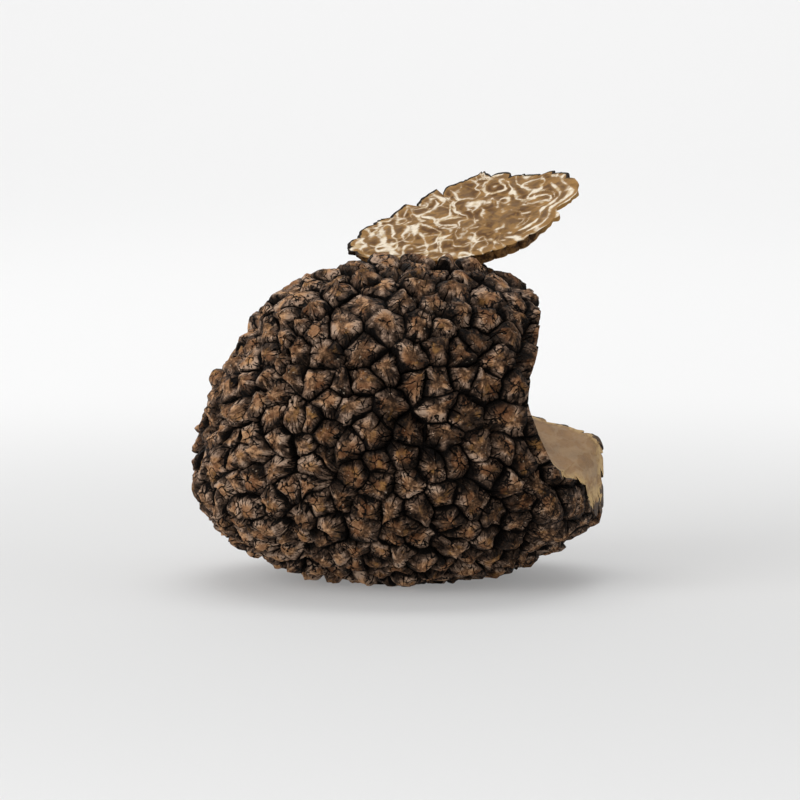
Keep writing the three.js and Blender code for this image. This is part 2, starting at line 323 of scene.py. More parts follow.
def put_mesh(name, points, corners, sides):
    """A mesh from its points, the point of every face corner, and the number of corners of every face."""
    mesh = bpy.data.meshes.new(name)
    mesh.vertices.add(len(points))
    mesh.vertices.foreach_set("co", np.ravel(points))
    mesh.loops.add(len(corners))
    mesh.loops.foreach_set("vertex_index", corners)
    mesh.polygons.add(len(sides))
    mesh.polygons.foreach_set("loop_start", np.cumsum(sides) - sides)
    mesh.update(calc_edges=True)
    return mesh


def put_number(mesh, name, values, domain):
    """A named number on every point or every face corner."""
    mesh.attributes.new(name, "FLOAT", domain).data.foreach_set("value", np.ravel(values))


def put_object(name, mesh):
    """An object at the origin that shows a mesh."""
    thing = bpy.data.objects.new(name, mesh)
    bpy.context.scene.collection.objects.link(thing)
    return thing


def bark_mesh():
    """The closed bark. Grid points that fall in one place become one point, then noise moves each point
    a little sideways, which bends the grooves, and a little outwards, which roughens the warts."""
    grid = bark_grid()
    sectors, rings, columns = grid["share"].shape
    number = np.arange(sectors * rings * columns).reshape(sectors, rings, columns)
    inner, outer = number[:, 1:-1], number[:, 2:]
    quads = np.stack([inner[..., :-1], outer[..., :-1], outer[..., 1:], inner[..., 1:]], axis=-1)
    fans = np.stack([number[:, 0, :-1], number[:, 1, :-1], number[:, 1, 1:]], axis=-1).reshape(-1, 3)
    corners = np.concatenate([quads.ravel(), fans.ravel()])
    sides = np.repeat([4, 3], [quads.size // 4, len(fans)])

    spots = np.round(grid["points"].reshape(-1, 3), 4)
    points, welded = np.unique(spots, axis=0, return_inverse=True)
    outwards = unit(points)
    moved = points.copy()
    for step, drift in enumerate(DRIFTS):
        moved += drift["reach"] * soft_drift(points, drift["size"], 10 + 3 * step)
    for step, roughness in enumerate(ROUGHNESSES):
        moved += outwards * roughness["reach"] * soft_noise(points, roughness["size"], 30 + step)[:, None]

    mesh = put_mesh("bark", moved, welded.ravel()[corners], sides)
    for name in ("share", "fissure", "tone", "deep"):
        put_number(mesh, name, np.ravel(grid[name])[corners], "CORNER")
    mesh.uv_layers.new(name="on_wart").data.foreach_set("uv", grid["local"].reshape(-1, 2)[corners].ravel())
    return mesh


# Bark: painted shade makes it nearly black in the grooves, fissures and cracks. The flanks are
# deep brown, and painted shade deepens them towards the grooves. The tops are worn to a lighter
# warm brown with rust and ochre patches, and carry painted glints. Painted light makes the left
# side, the crown and the bottom lighter. Cracks run down from the point of each wart and break
# some warts into blocks.

BARK_SHADES = [
    (0.0, (0.0025, 0.0012, 0.0006, 1)),
    (0.25, (0.011, 0.006, 0.0032, 1)),
    (0.5, (0.05, 0.0305, 0.0185, 1)),
    (0.75, (0.16, 0.103, 0.067, 1)),
    (1.0, (0.5, 0.35, 0.235, 1)),
]
TOP_TINT = (1.16, 0.945, 0.74, 1)
FLANK_TINT = (0.98, 0.97, 1.03, 1)
RUST = (0.19, 0.075, 0.03, 1)
OCHRE = (0.4, 0.2, 0.065, 1)
PAINTED_GLINT = (0.5, 0.4, 0.3, 1)
BARK_LIGHT = 0.525
WART_LAYERS = 61.0
RIB_TWIST = 0.8
NOISE_SPREAD = 0.15


def add_node(tree, kind, inputs=None, **settings):
    """A shader node with its settings and the values of its inputs. A socket given as input is linked."""
    node = tree.nodes.new("ShaderNode" + kind)
    for key, value in settings.items():
        setattr(node, key, value)
    for key, value in (inputs or {}).items():
        if isinstance(value, bpy.types.NodeSocket):
            tree.links.new(value, node.inputs[key])
        else:
            node.inputs[key].default_value = value
    return node


def new_material(name):
    """An empty material and its node tree."""
    material = bpy.data.materials.new(name)
    material.use_nodes = True
    material.node_tree.nodes.clear()
    return material, material.node_tree


def attribute(tree, name):
    """The number stored on the mesh under that name."""
    return add_node(tree, "Attribute", attribute_name=name).outputs["Fac"]


def on_map(tree, name):
    """The place on a UV map."""
    return add_node(tree, "UVMap", uv_map=name).outputs[0]


def on_vectors(tree, operation, *vectors):
    """One step of vector arithmetic."""
    return add_node(tree, "VectorMath", dict(enumerate(vectors)), operation=operation).outputs[0]


def in_millimetres(tree):
    """The place on the piece, in millimetres."""
    place = add_node(tree, "TexCoord").outputs["Object"]
    return on_vectors(tree, "MULTIPLY", place, [1 / MILLIMETRE] * 3)


def calculate(tree, operation, *values):
    """One step of arithmetic."""
    return add_node(tree, "Math", dict(enumerate(values)), operation=operation).outputs[0]


def add_up(tree, *values):
    """The sum of several numbers."""
    return reduce(partial(calculate, tree, "ADD"), values)


def multiply(tree, *values):
    """The product of several numbers."""
    return reduce(partial(calculate, tree, "MULTIPLY"), values)


def greatest(tree, *values):
    """The greatest of several numbers."""
    return reduce(partial(calculate, tree, "MAXIMUM"), values)


def ramp(tree, value, low, high, out_low=0.0, out_high=1.0):
    """Value carried smoothly from low..high to out_low..out_high."""
    inputs = {"Value": value, "From Min": low, "From Max": high, "To Min": out_low, "To Max": out_high}
    return add_node(tree, "MapRange", inputs, interpolation_type="SMOOTHSTEP").outputs[0]


def within(tree, *limits):
    """The product of several values, each carried smoothly between its own limits."""
    return multiply(tree, *(ramp(tree, *limit) for limit in limits))


def mix_colours(tree, share, first, second, blend="MIX"):
    """First colour where the share is 0, second where it is 1."""
    inputs = {0: share, 6: first, 7: second}
    return add_node(tree, "Mix", inputs, data_type="RGBA", blend_type=blend).outputs[2]


def paint(tree, colour, *coats):
    """A colour under several coats, each with the share that it covers."""
    for share, coat in coats:
        colour = mix_colours(tree, share, colour, coat)
    return colour


def noise(tree, vector, scale, **inputs):
    """Noise from 0 to 1 over a vector."""
    return add_node(tree, "TexNoise", {"Vector": vector, "Scale": scale, **inputs}).outputs["Fac"]


def spread(tree, value, amount):
    """Noise from 0 to 1 turned into a push of about that size, down or up."""
    return multiply(tree, calculate(tree, "SUBTRACT", value, 0.5), amount / NOISE_SPREAD)


def shades(tree, value, stops):
    """A run of colours over 0 to 1."""
    node = add_node(tree, "ValToRGB", {"Fac": value})
    elements = node.color_ramp.elements
    for stop, (place, colour) in enumerate(stops):
        element = elements[stop] if stop < 2 else elements.new(place)
        element.position = place
        element.color = colour
    return node.outputs["Color"]


def finish_surface(material, colour, roughness, height, strength, distance, specular):
    """The material with its surface: one Principled shader over a relief of that distance in millimetres."""
    tree = material.node_tree
    bump = {"Strength": strength, "Distance": distance * MILLIMETRE, "Height": height}
    shader = add_node(tree, "BsdfPrincipled", {
        "Base Color": colour, "Roughness": roughness, "Specular IOR Level": specular,
        "Normal": add_node(tree, "Bump", bump).outputs[0],
    })
    add_node(tree, "OutputMaterial", {"Surface": shader.outputs[0]})
    return material


def new_group(build, output, *numbers):
    """An effect that several materials share, as a node group that takes a place and the named numbers.
    build makes it from them."""
    group = bpy.data.node_groups.new(build.__name__.replace("_", " "), "ShaderNodeTree")
    group.interface.new_socket("Place", in_out="INPUT", socket_type="NodeSocketVector")
    for number in numbers:
        group.interface.new_socket(number, in_out="INPUT", socket_type="NodeSocketFloat")
    group.interface.new_socket(output, in_out="OUTPUT", socket_type="NodeSocketFloat")
    given = group.nodes.new("NodeGroupInput").outputs
    made = build(group, *(given[name] for name in ("Place", *numbers)))
    group.links.new(made, group.nodes.new("NodeGroupOutput").inputs[output])
    return group


def from_group(tree, group, **inputs):
    """What a shared effect gives for this material's own values of its inputs."""
    return add_node(tree, "Group", inputs, node_tree=group).outputs[0]


def uneven_walls(tree, place, scale, bend):
    """Thin walls between lumps, bent by finer noise: the cracks of the bark and the veins of the flesh.
    0 on a wall, growing towards the middle of a lump."""
    finer = multiply(tree, scale, 2.2)
    bent = add_node(tree, "TexNoise", {"Vector": place, "Scale": finer}).outputs["Color"]
    moved = on_vectors(tree, "MULTIPLY_ADD", bent, bend, place)
    lumps = add_node(tree, "TexVoronoi", {"Vector": moved, "Scale": scale}, feature="DISTANCE_TO_EDGE")
    return lumps.outputs["Distance"]


def fine_grain(tree, place, scale, coarseness):
    """Fine grain from 0 to 1, which bark and both kinds of cut flesh share."""
    return noise(tree, place, scale, Detail=4, Roughness=coarseness)


UNEVEN_WALLS = new_group(uneven_walls, "Off Wall", "Scale", "Bend")
FINE_GRAIN = new_group(fine_grain, "Grain", "Scale", "Coarseness")


def make_bark():
    """The bark's material."""
    material, tree = new_material("truffle bark")
    share, fissure, tone, deep = (attribute(tree, name) for name in ("share", "fissure", "tone", "deep"))
    place = in_millimetres(tree)
    across, _, height = add_node(tree, "SeparateXYZ", {"Vector": place}).outputs

    layer = calculate(tree, "MULTIPLY_ADD", share, RIB_TWIST, multiply(tree, tone, WART_LAYERS))
    layer = add_node(tree, "CombineXYZ", {"Z": layer}).outputs[0]
    spoke = on_vectors(tree, "ADD", on_vectors(tree, "NORMALIZE", on_map(tree, "on_wart")), layer)
    ribs = noise(tree, spoke, 2.3, Detail=3, Roughness=0.6)
    sides = noise(tree, spoke, 0.9, Detail=0)
    off_split = calculate(tree, "ABSOLUTE", spread(tree, noise(tree, spoke, 1.9, Detail=1), NOISE_SPREAD))
    off_top = ramp(tree, share, 0.05, 0.5)
    rayed = add_up(tree, spread(tree, ribs, 0.1), spread(tree, sides, 0.19))
    grain = from_group(tree, FINE_GRAIN, Place=place, Scale=2.6, Coarseness=0.7)
    crust = noise(tree, place, 1.1, Detail=3, Roughness=0.6, Distortion=0.4)
    patches = noise(tree, place, 0.42, Roughness=0.55)
    glint_spots = noise(tree, place, 2.3, Detail=1)
    worn = noise(tree, place, 0.5, Detail=3, Roughness=0.6)

    off_block = from_group(tree, UNEVEN_WALLS, Place=place, Scale=0.62, Bend=0.7)
    off_crumb = from_group(tree, UNEVEN_WALLS, Place=place, Scale=1.1, Bend=0.9)
    crusty = within(tree, (across, 10, 20), (height, 24, 12))
    crack = greatest(
        tree,
        within(tree, (ribs, 0.355, 0.32), (share, 0.4, 0.65)),
        within(tree, (off_split, 0.028, 0.014), (share, 0.35, 0.55)),
        within(tree, (off_block, 0.07, 0.02), (noise(tree, place, 0.43, Detail=1), 0.5, 0.56)),
        multiply(tree, ramp(tree, off_crumb, 0.08, 0.02, 0, 0.75), crusty),
    )
    # Painted shade: the cracks, the fissures and the deep grooves are painted black, standing in for the
    # shade that falls into them.
    crevice_painted_shade = greatest(
        tree, crack, ramp(tree, fissure, 0.12, 0.5),
        within(tree, (share, 0.88, 0.955), (deep, 0.02, 0.24)),
    )

    # Wear and painted shade: lighter towards the wart's middle, where the tops are worn, and darker towards
    # the grooves as painted shade.
    from_border = ramp(tree, share, 0.98, 0.55, -0.12, 0.1)
    # Painted light: the left side, the crown and the bottom are painted lighter, where the lamps and the
    # paper light them most.
    left_painted_light = ramp(tree, across, 2, -22, 0, 0.17)
    crown = ramp(tree, height, 34, 46, 0, 0.08)
    bottom_painted_light = ramp(tree, height, 15, 5, 0, 0.11)
    light = add_up(
        tree, BARK_LIGHT, from_border, left_painted_light, crown, bottom_painted_light, multiply(tree, crusty, 0.03),
        multiply(tree, rayed, off_top), calculate(tree, "MULTIPLY_ADD", tone, 0.2, -0.1),
        spread(tree, grain, 0.16), spread(tree, crust, 0.15), spread(tree, patches, 0.12),
    )
    on_top = add_up(tree, ramp(tree, share, 0.8, 0.25), spread(tree, patches, 0.3))
    tint = mix_colours(tree, ramp(tree, on_top, 0.1, 1.0), FLANK_TINT, TOP_TINT)
    colour = mix_colours(tree, 1.0, shades(tree, light, BARK_SHADES), tint, blend="MULTIPLY")
    colour = paint(
        tree, colour,
        (within(tree, (patches, 0.5, 0.66), (share, 0.9, 0.4, 0, 0.6)), RUST),
        (within(tree, (worn, 0.55, 0.72), (share, 0.85, 0.3, 0, 0.75)), OCHRE),
        # Painted glints: small pale spots on the wart tops, painted where the sheen would catch the light.
        (within(tree, (glint_spots, 0.7, 0.78), (share, 0.9, 0.6, 0, 0.7)), PAINTED_GLINT),
        (crevice_painted_shade, BARK_SHADES[0][1]),
    )
    relief = add_up(
        tree, grain, multiply(tree, ribs, off_top, 0.9),
        multiply(tree, crust, 1.2), multiply(tree, crack, -0.9),
    )
    shine = ramp(tree, grain, 0.35, 0.6, 0.42, 0.85)
    return finish_surface(material, colour, shine, relief, strength=1.0, distance=0.3, specular=0.1)


# ---- the cut and the shaving
# A knife took one side of the truffle: an upright wall, a round inside corner and a ledge that
# slopes down to the right, swept from front to back. A flat shaving was taken off the right end.
# Both leave bare flesh, edged with a thin black line of bark and a cream line under it.

CUT_PROFILE = np.array([
    [22.2, 27], [18.5, 16.3], [16.6, 11], [16, 7.3], [16.9, 4.2], [18.2, 1.2], [20, -2],
    [22.8, -3.9], [25.9, -4.6], [30, -4.9], [38, -5.4],
])
CUT_REACH = 60.0
CUT_SWING = -0.15
CUT_CLIMB = 0.133
CUT_STEP = 0.7
CUT_POINTS = 72
KNIFE_WAVER = 0.07
SHAVING_NORMAL = unit((0.97, -0.2, 0.127))
SHAVING_POINT = np.array([30.7, 0, -10.5])
SHAVING_STEPS = 104
LEDGE_OVER_SHAVING = 6.04
LEDGE_CLIMB = 0.105
CORNER_ROUNDING = np.array([2.2, 3.3])


def curve_through(points, steps, closed):
    """A smooth curve through points."""
    count = len(points)
    spans = count if closed else count - 1
    place = np.arange(spans * steps + (not closed)) / steps
    index = np.minimum(np.floor(place).astype(int), spans - 1)
    numbers = [index + step for step in (-1, 0, 1, 2)]
    near = (points[number % count if closed else np.clip(number, 0, count - 1)] for number in numbers)
    return catmull_rom(*near, (place - index)[:, None])


def evenly(points, count, closed):
    """The same line again, as points that are equally far apart along it."""
    line = np.concatenate([points, points[:1]]) if closed else points
    along = np.concatenate([[0], np.cumsum(lengths(np.diff(line, axis=0)))])
    wanted = np.linspace(0, along[-1], count, endpoint=not closed)
    return np.stack([np.interp(wanted, along, line[:, axis]) for axis in range(2)], axis=1)


def ring_faces(number):
    """The four corners of each face between one closed row of points and the next."""
    here, there = number[:-1], number[1:]
    return np.stack([here, there, np.roll(there, -1, axis=1), np.roll(here, -1, axis=1)], axis=-1)


def swept_solid(name, profile, place):
    """A closed solid: a line, closed far out at the right, swept from front to back.
    place turns a point on the line and a distance back into a point in space."""
    far = np.array([[CUT_REACH, profile[-1, 1]], [CUT_REACH, profile[0, 1]]])
    loop = np.concatenate([profile, far])
    back = np.arange(-CUT_REACH / 2, CUT_REACH / 2 + CUT_STEP, CUT_STEP)
    points = place(loop[None], back[:, None])
    rows, around = points.shape[:2]
    number = np.arange(rows * around).reshape(rows, around)
    corners = np.concatenate([ring_faces(number).ravel(), number[0], number[-1, ::-1]])
    sides = np.append(np.full((rows - 1) * around, 4), [around, around])
    return put_mesh(name, points.reshape(-1, 3), corners, sides)


def cut_place(line, back):
    """Going back, the cut moves to the left and climbs. The knife wavers by a slow noise."""
    x = line[..., 0] + CUT_SWING * back
    z = line[..., 1] + CUT_CLIMB * back
    points = np.stack(np.broadcast_arrays(x, back, z), axis=-1)
    return points + KNIFE_WAVER * soft_drift(points, 3.5, 50)


def shaving_place(line, back):
    """The shaving: x along its normal, then upwards and level along it. Going back, its top climbs."""
    level = unit(np.cross([0, 0, 1], SHAVING_NORMAL))
    upwards = np.cross(SHAVING_NORMAL, level)
    rise = line[..., 1] + LEDGE_CLIMB * back
    along = rise[..., None] * upwards + back[..., None] * level
    points = SHAVING_POINT + line[..., :1] * SHAVING_NORMAL + along
    return points + KNIFE_WAVER * soft_drift(points, 2.5, 60)


def shaving_profile():
    """A plumb line whose top end is a quarter of an ellipse, which rounds off the corner of the ledge:
    (width * (cos(turn) - 1), height * (sin(turn) - 1)), measured from that corner."""
    turn = np.linspace(math.pi / 2, 0, 16)
    corner = np.stack([np.cos(turn), np.sin(turn)], axis=-1) * CORNER_ROUNDING
    corner += (-CORNER_ROUNDING[0], LEDGE_OVER_SHAVING - CORNER_ROUNDING[1])
    top, bottom = (corner[0, 0], CUT_REACH / 2), (0, -CUT_REACH / 2)
    return evenly(np.concatenate([[top], corner, [bottom]]), SHAVING_STEPS, False)


def block_mesh(name, low, high):
    """A plain block between two corners."""
    signs = np.array(list(product((0, 1), repeat=3)))
    points = np.array(low) + signs * (np.array(high) - low)
    faces = [[0, 1, 3, 2], [4, 6, 7, 5], [0, 4, 5, 1], [2, 3, 7, 6], [0, 2, 6, 4], [1, 5, 7, 3]]
    return put_mesh(name, points, np.ravel(faces), np.full(len(faces), 4))


# ---- the slice
# A thin slice cut from the middle of a truffle. Its near edge stands in the fold of the crown and
# it leans on a low hump behind. Its skin is scalloped, since the knife went through the warts.

SLICE_OUTLINE = np.array([
    [-7.6, 9.8], [-5, 6.2], [0, 3], [9, 1.2], [14.3, 1.2], [18.5, 2.6], [21.9, 4.8], [24.3, 7.4],
    [24.1, 9.9], [26.6, 11.4], [27.5, 16], [24.5, 21.2], [20.4, 22], [16, 25], [11.9, 25.7],
    [4.6, 22.3], [-1.8, 17.6], [-5.2, 14.6],
])
SLICE_CENTRE = np.array([10, 13.5])
SLICE_HEIGHT = 24.1
SLICE_RISE_RIGHT = 0.2
SLICE_RISE_BACK = 0.42
SLICE_FOOT = 4
SLICE_THICKNESS = 1.6
SLICE_CURL = 0.0022
SCALLOP_COUNT = 26
SCALLOP_NARROWEST = 0.5
SCALLOP_DEPTH = 1.0
SCALLOP_REST = 0.45
SCALLOP_SEED = 4409
CLEARANCE = 0.35
FREE_SPACE_ABOVE = 9.0
ROOM_STEPS = 130
SLICE_STEPS = 460
SLICE_RINGS = 64
SLICE_EDGE_ROWS = 5
SLICE_UNDER_RINGS = 24
NEAR_SCALLOPS = 0.45
TEAR_STEP = 1.9
SPIKE_COUNT = 22
SPIKE_REACH = 1.3
SPIKE_HALF_WIDTH = 0.3
FACE_ROUGHNESS = 0.07
EDGE_ROUGHNESS = 0.17
TIPS_FROM = (-13.0, 10.0)
TIP_LENGTH = 3
MIDDLE_INWARDS = 9.0
TIP_THINNING = 0.62


def along_scallop(steps):
    """How far along its scallop each step round the outline is, from 0 to 1."""
    widths = SCALLOP_NARROWEST + chances(SCALLOP_SEED, SCALLOP_COUNT)
    edges = np.concatenate([[0], np.cumsum(widths) / np.sum(widths)])
    place = np.arange(steps) / steps
    index = np.clip(np.searchsorted(edges, place, side="right") - 1, 0, SCALLOP_COUNT - 1)
    return np.clip((place - edges[index]) / (edges[index + 1] - edges[index]), 0, 1)


def scallops(steps):
    """How far the skin stands out from the outline at each step: depth * sqrt(sin(pi * along)) - rest."""
    return SCALLOP_DEPTH * np.sqrt(np.sin(math.pi * along_scallop(steps))) - SCALLOP_REST


def slice_rim(steps, grow):
    """The outline from above, measured from the slice's middle, with its scallops."""
    outline = evenly(curve_through(SLICE_OUTLINE - SLICE_CENTRE, 24, True), steps, True)
    length = lengths(outline)[:, None]
    return outline * (1 + (scallops(steps)[:, None] + grow) / length)


def slice_top(flat, lift):
    """The slice's upper face. Its height is level + slope to the right + slope to the back + curl * x^2.
    The lift goes along the face's normal."""
    x, y = np.moveaxis(flat + SLICE_CENTRE, -1, 0)
    rise = SLICE_RISE_RIGHT * x + SLICE_RISE_BACK * (y - SLICE_FOOT) + SLICE_CURL * flat[..., 0] ** 2
    top = np.stack([x, y, SLICE_HEIGHT + rise], axis=-1)
    normal = unit((-SLICE_RISE_RIGHT, -SLICE_RISE_BACK, 1))
    return top + np.asarray(lift)[..., None] * normal


def slice_mesh(name, rim, shares, depths, curve):
    """The slice as a closed solid, from rows of the rim: out over the upper face, down the edge and in
    over the lower face. Each row is the rim shrunk to its share and lowered by its depth, less at the tips.
    curve turns a flat place and a lift into a point. Also gives every point's flat place, its distance in
    from the rim and its share of the way down."""
    steps = len(rim)
    flat = rim[None] * shares[:, None, None]
    past_tip = np.maximum(flat[..., 0] - TIPS_FROM[1], TIPS_FROM[0] - flat[..., 0])
    thinner = 1 - TIP_THINNING * np.clip(past_tip / TIP_LENGTH, 0, 1)
    points = curve(flat, -depths[:, None] * thinner)
    middles = curve(np.zeros((2, 2)), -depths[[0, -1]])
    number = np.arange(len(shares) * steps).reshape(len(shares), steps)
    first, last = number[0], number[-1]
    cap = np.stack([first, np.roll(first, -1), np.full(steps, number.size)], axis=-1)
    foot = np.stack([np.roll(last, -1), last, np.full(steps, number.size + 1)], axis=-1)
    corners = np.concatenate([ring_faces(number).ravel(), cap.ravel(), foot.ravel()])
    sides = np.repeat([4, 3], [(len(shares) - 1) * steps, 2 * steps])
    mesh = put_mesh(name, np.concatenate([points.reshape(-1, 3), middles]), corners, sides)
    places = np.concatenate([flat.reshape(-1, 2), np.zeros((2, 2))])
    inwards = np.append(((1 - shares)[:, None] * lengths(rim)).ravel(), [MIDDLE_INWARDS] * 2)
    below = np.append(np.repeat(depths / SLICE_THICKNESS, steps), [0, 1])
    return mesh, places, inwards, below


# The veins of the flesh stand between brown cells, as walls do, or wind through them as threads.
# Near the right end they run along the near skin in bands. The heart is almost plain.

VEIN_CELL = np.array([2.6, 6.0])
VEIN_LEAN = 0.15
VEIN_WANDERS = [{"size": 3.2, "reach": 1.1}, {"size": 1.2, "reach": 0.36}]
CROSSWAYS_FADE = 0.3
WALL_SOFTNESS = 0.3
WALL_WIDTH = {"half": 0.06, "swelling": 0.22, "size": 2.6, "seed": 78}
THREAD_WIDTH = {"half": 0.12, "swelling": 0.17, "size": 1.9, "seed": 81}
BAND_WIDTH = {"half": 0.26, "swelling": 0.3, "size": 2.4, "seed": 79}
FLECK_WIDTH = {"half": -0.48, "swelling": 0.6, "size": 1.0, "seed": 83}
THREAD_SQUEEZE = (1.0, 0.47)
THREAD_SIZE = 1.2
RIM_WAVES = 14
BAND_SPACING = 1.5
BAND_WAVER = 0.35
BAND_REACH = 3.6
BANDS_FROM = 9.0
BANDS_BACK = 6.0
PLAIN_HEART = {"centre": (5.4, -3.6), "reach": (2.9, 4.2), "widening": -0.55}
PALE_ROOT = {"centre": (-12.5, -3.0), "reach": (6.5, 9.0), "widening": 0.03}


def at_level(places):
    """Flat places as points in space, at height 0."""
    return np.append(places, np.zeros_like(places[:, :1]), axis=-1)


def half_width(places, width):
    """Half the width of a vein at each place: half + swelling * noise."""
    return width["half"] + width["swelling"] * soft_noise(at_level(places), width["size"], width["seed"])


def soft_spot(places, spot):
    """1 at a spot's centre, falling to 0 as exp(-(distance / reach) squared)."""
    return np.exp(-np.sum(((places - spot["centre"]) / spot["reach"]) ** 2, axis=-1))


def wall_distance(places, cell, seed):
    """How far each place is from the walls between grown cells, in mm.

    Every box of a lattice holds one seed, at random. A wall stands halfway between two seeds:
    (place - halfway) along the line between them, plus a fade where the wall runs to the right.
    The walls near a place are joined by -softness * log(sum of exp(-distance / softness)).
    """
    lattice = np.floor(places / cell).astype(int)
    scatter = np.random.default_rng(seed).uniform(0.08, 0.92, (64, 64, 2))
    around = lattice[:, None] + np.array(list(product(range(-2, 3), repeat=2)))
    seeds = (around + scatter[around[..., 0] % 64, around[..., 1] % 64]) * cell - places[:, None]
    own = (np.arange(len(seeds)), np.argmin(lengths(seeds), axis=-1))
    apart = seeds - seeds[own][:, None]
    length = np.maximum(lengths(apart), 1e-6)
    walls = np.sum((seeds + seeds[own][:, None]) * apart, axis=-1) / length / 2
    walls += CROSSWAYS_FADE * (apart[..., 1] / length) ** 2
    walls[own] = np.inf
    return -WALL_SOFTNESS * np.log(np.sum(np.exp(-walls / WALL_SOFTNESS), axis=-1))


def rim_distance(places, rim):
    """How far inside the rim each place is, with the rim smoothed to its longest waves."""
    turn = np.arctan2(rim[:, 1], rim[:, 0])
    order = np.argsort(turn)
    waves = np.fft.rfft(lengths(rim)[order])
    length = np.fft.irfft(waves[:RIM_WAVES], len(rim))
    at_place = np.interp(np.arctan2(places[:, 1], places[:, 0]), turn[order], length, period=2 * math.pi)
    return at_place - lengths(places)


def thread_distance(places):
    """How far each place is from the winding lines on which a noise is 0: |noise| / its slope."""
    flat = at_level(places)
    step = 0.06 * THREAD_SIZE
    rises = [soft_noise(flat + push, THREAD_SIZE, 85) - soft_noise(flat - push, THREAD_SIZE, 85)
             for push in step * np.eye(3)[:2]]
    slope = np.hypot(*rises) / (2 * step)
    return np.abs(soft_noise(flat, THREAD_SIZE, 85)) / np.maximum(slope, 0.25 / THREAD_SIZE)


def vein_field(places, rim):
    """How far each place is inside a vein, in mm: above 0 in a vein, below 0 in plain flesh. It is the
    greatest of half a width less the distance, for walls, threads and bands, and the flecks."""
    inwards = rim_distance(places, rim)
    moved = places + np.outer(places[:, 1], (VEIN_LEAN, 0))
    for index, wander in enumerate(VEIN_WANDERS):
        drift = soft_drift(at_level(places), wander["size"], 900 + 10 * index)
        moved = moved + wander["reach"] * drift[:, :2]
    widening = sum(spot["widening"] * soft_spot(places, spot) for spot in (PLAIN_HEART, PALE_ROOT))
    walls = half_width(places, WALL_WIDTH) + widening - wall_distance(moved, VEIN_CELL, 12)
    threads = half_width(places, THREAD_WIDTH) + widening - thread_distance(moved * THREAD_SQUEEZE)
    past = places[:, 0] - BANDS_FROM
    near = np.clip((BANDS_BACK - places[:, 1]) / 3, 0, 1)
    turns = (inwards + BAND_WAVER * soft_noise(at_level(places), 3.6, 77)) / BAND_SPACING
    bands = half_width(places, BAND_WIDTH) - BAND_SPACING * np.abs(turns - np.round(turns))
    bands -= 0.5 * np.maximum(0, inwards - BAND_REACH) + 0.3 * np.maximum(0, -past) + 0.6 * (1 - near)
    gap = 0.8 * np.clip(past / 1.5, 0, 1) * np.clip(BAND_REACH + 0.5 - inwards, 0, 1) * near
    network = np.maximum(walls, threads) - gap
    return np.maximum(np.maximum(network, bands), half_width(places, FLECK_WIDTH))


FLESH_TAN = (0.36, 0.21, 0.09, 1)
FLESH_GREY = (0.2, 0.118, 0.058, 1)
VEIN_CREAM = (0.72, 0.6, 0.4, 1)
CREAM_LINE = (0.56, 0.38, 0.16, 1)
CRUST_OCHRE = (0.27, 0.15, 0.05, 1)
SKIN_BLACK = (0.012, 0.006, 0.003, 1)
SKIN_CRUST = (0.12, 0.066, 0.03, 1)
DRAWN_OUT = (1, 0.3, 1)


def ragged_depth(tree, place, scale, depth, reach):
    """A depth under the skin pushed up and down by noise, which leaves the skin ragged."""
    push = spread(tree, noise(tree, place, scale, Detail=4, Roughness=0.6), 1.0)
    return calculate(tree, "MULTIPLY_ADD", push, reach, depth)


RAGGED_DEPTH = new_group(ragged_depth, "Ragged Depth", "Scale", "Depth", "Reach")


def make_cut_flesh():
    """The material of the cut: mottled tan flesh, yellow and crumbly by the skin, and black at its edge."""
    material, tree = new_material("truffle flesh")
    place = in_millimetres(tree)
    drawn_out = on_vectors(tree, "MULTIPLY", place, DRAWN_OUT)
    mottle = noise(tree, drawn_out, 0.45, Detail=3, Roughness=0.55)
    cloud = noise(tree, drawn_out, 0.1, Detail=1)
    width = ramp(tree, noise(tree, drawn_out, 0.3), 0.35, 0.65, -0.02, 0.14)
    walls = from_group(tree, UNEVEN_WALLS, Place=drawn_out, Scale=0.33, Bend=2.0)
    vein = ramp(tree, calculate(tree, "SUBTRACT", walls, width), 0.1, -0.06, 0, 0.13)
    grain = from_group(tree, FINE_GRAIN, Place=place, Scale=3.0, Coarseness=0.55)
    crumbs = noise(tree, drawn_out, 0.8, Detail=3, Roughness=0.65)
    depth = attribute(tree, "depth")
    depth = from_group(tree, RAGGED_DEPTH, Place=drawn_out, Scale=0.9, Depth=depth, Reach=0.55)
    shade = add_up(tree, spread(tree, cloud, 0.25), spread(tree, mottle, 0.22), 0.45)
    crumb = mix_colours(tree, ramp(tree, crumbs, 0.36, 0.56), CRUST_OCHRE, CREAM_LINE)
    skin = mix_colours(tree, ramp(tree, grain, 0.42, 0.6), SKIN_BLACK, SKIN_CRUST)
    colour = paint(
        tree, FLESH_TAN,
        (ramp(tree, shade, 0.0, 1.0), FLESH_GREY),
        (vein, VEIN_CREAM),
        (ramp(tree, depth, 3.0, 1.0, 0, 0.75), crumb),
        (ramp(tree, depth, 0.5, 0.3), skin),
    )
    lumps = multiply(tree, crumbs, ramp(tree, depth, 3.0, 1.0, 0, 5.0))
    height = add_up(tree, lumps, grain)
    shine = ramp(tree, grain, 0.3, 0.7, 0.55, 0.7)
    return finish_surface(material, colour, shine, height, strength=0.4, distance=0.1, specular=0.12)


GLEBA_BROWN = (0.105, 0.046, 0.012, 1)
GLEBA_GREY = (0.17, 0.094, 0.04, 1)
SLICE_CREAM = (0.83, 0.73, 0.58, 1)
SLICE_BUFF = (0.56, 0.41, 0.23, 1)
RIM_OCHRE = (0.37, 0.2, 0.06, 1)
EDGE_BROWN = (0.03, 0.014, 0.006, 1)
EDGE_OCHRE = (0.17, 0.085, 0.03, 1)


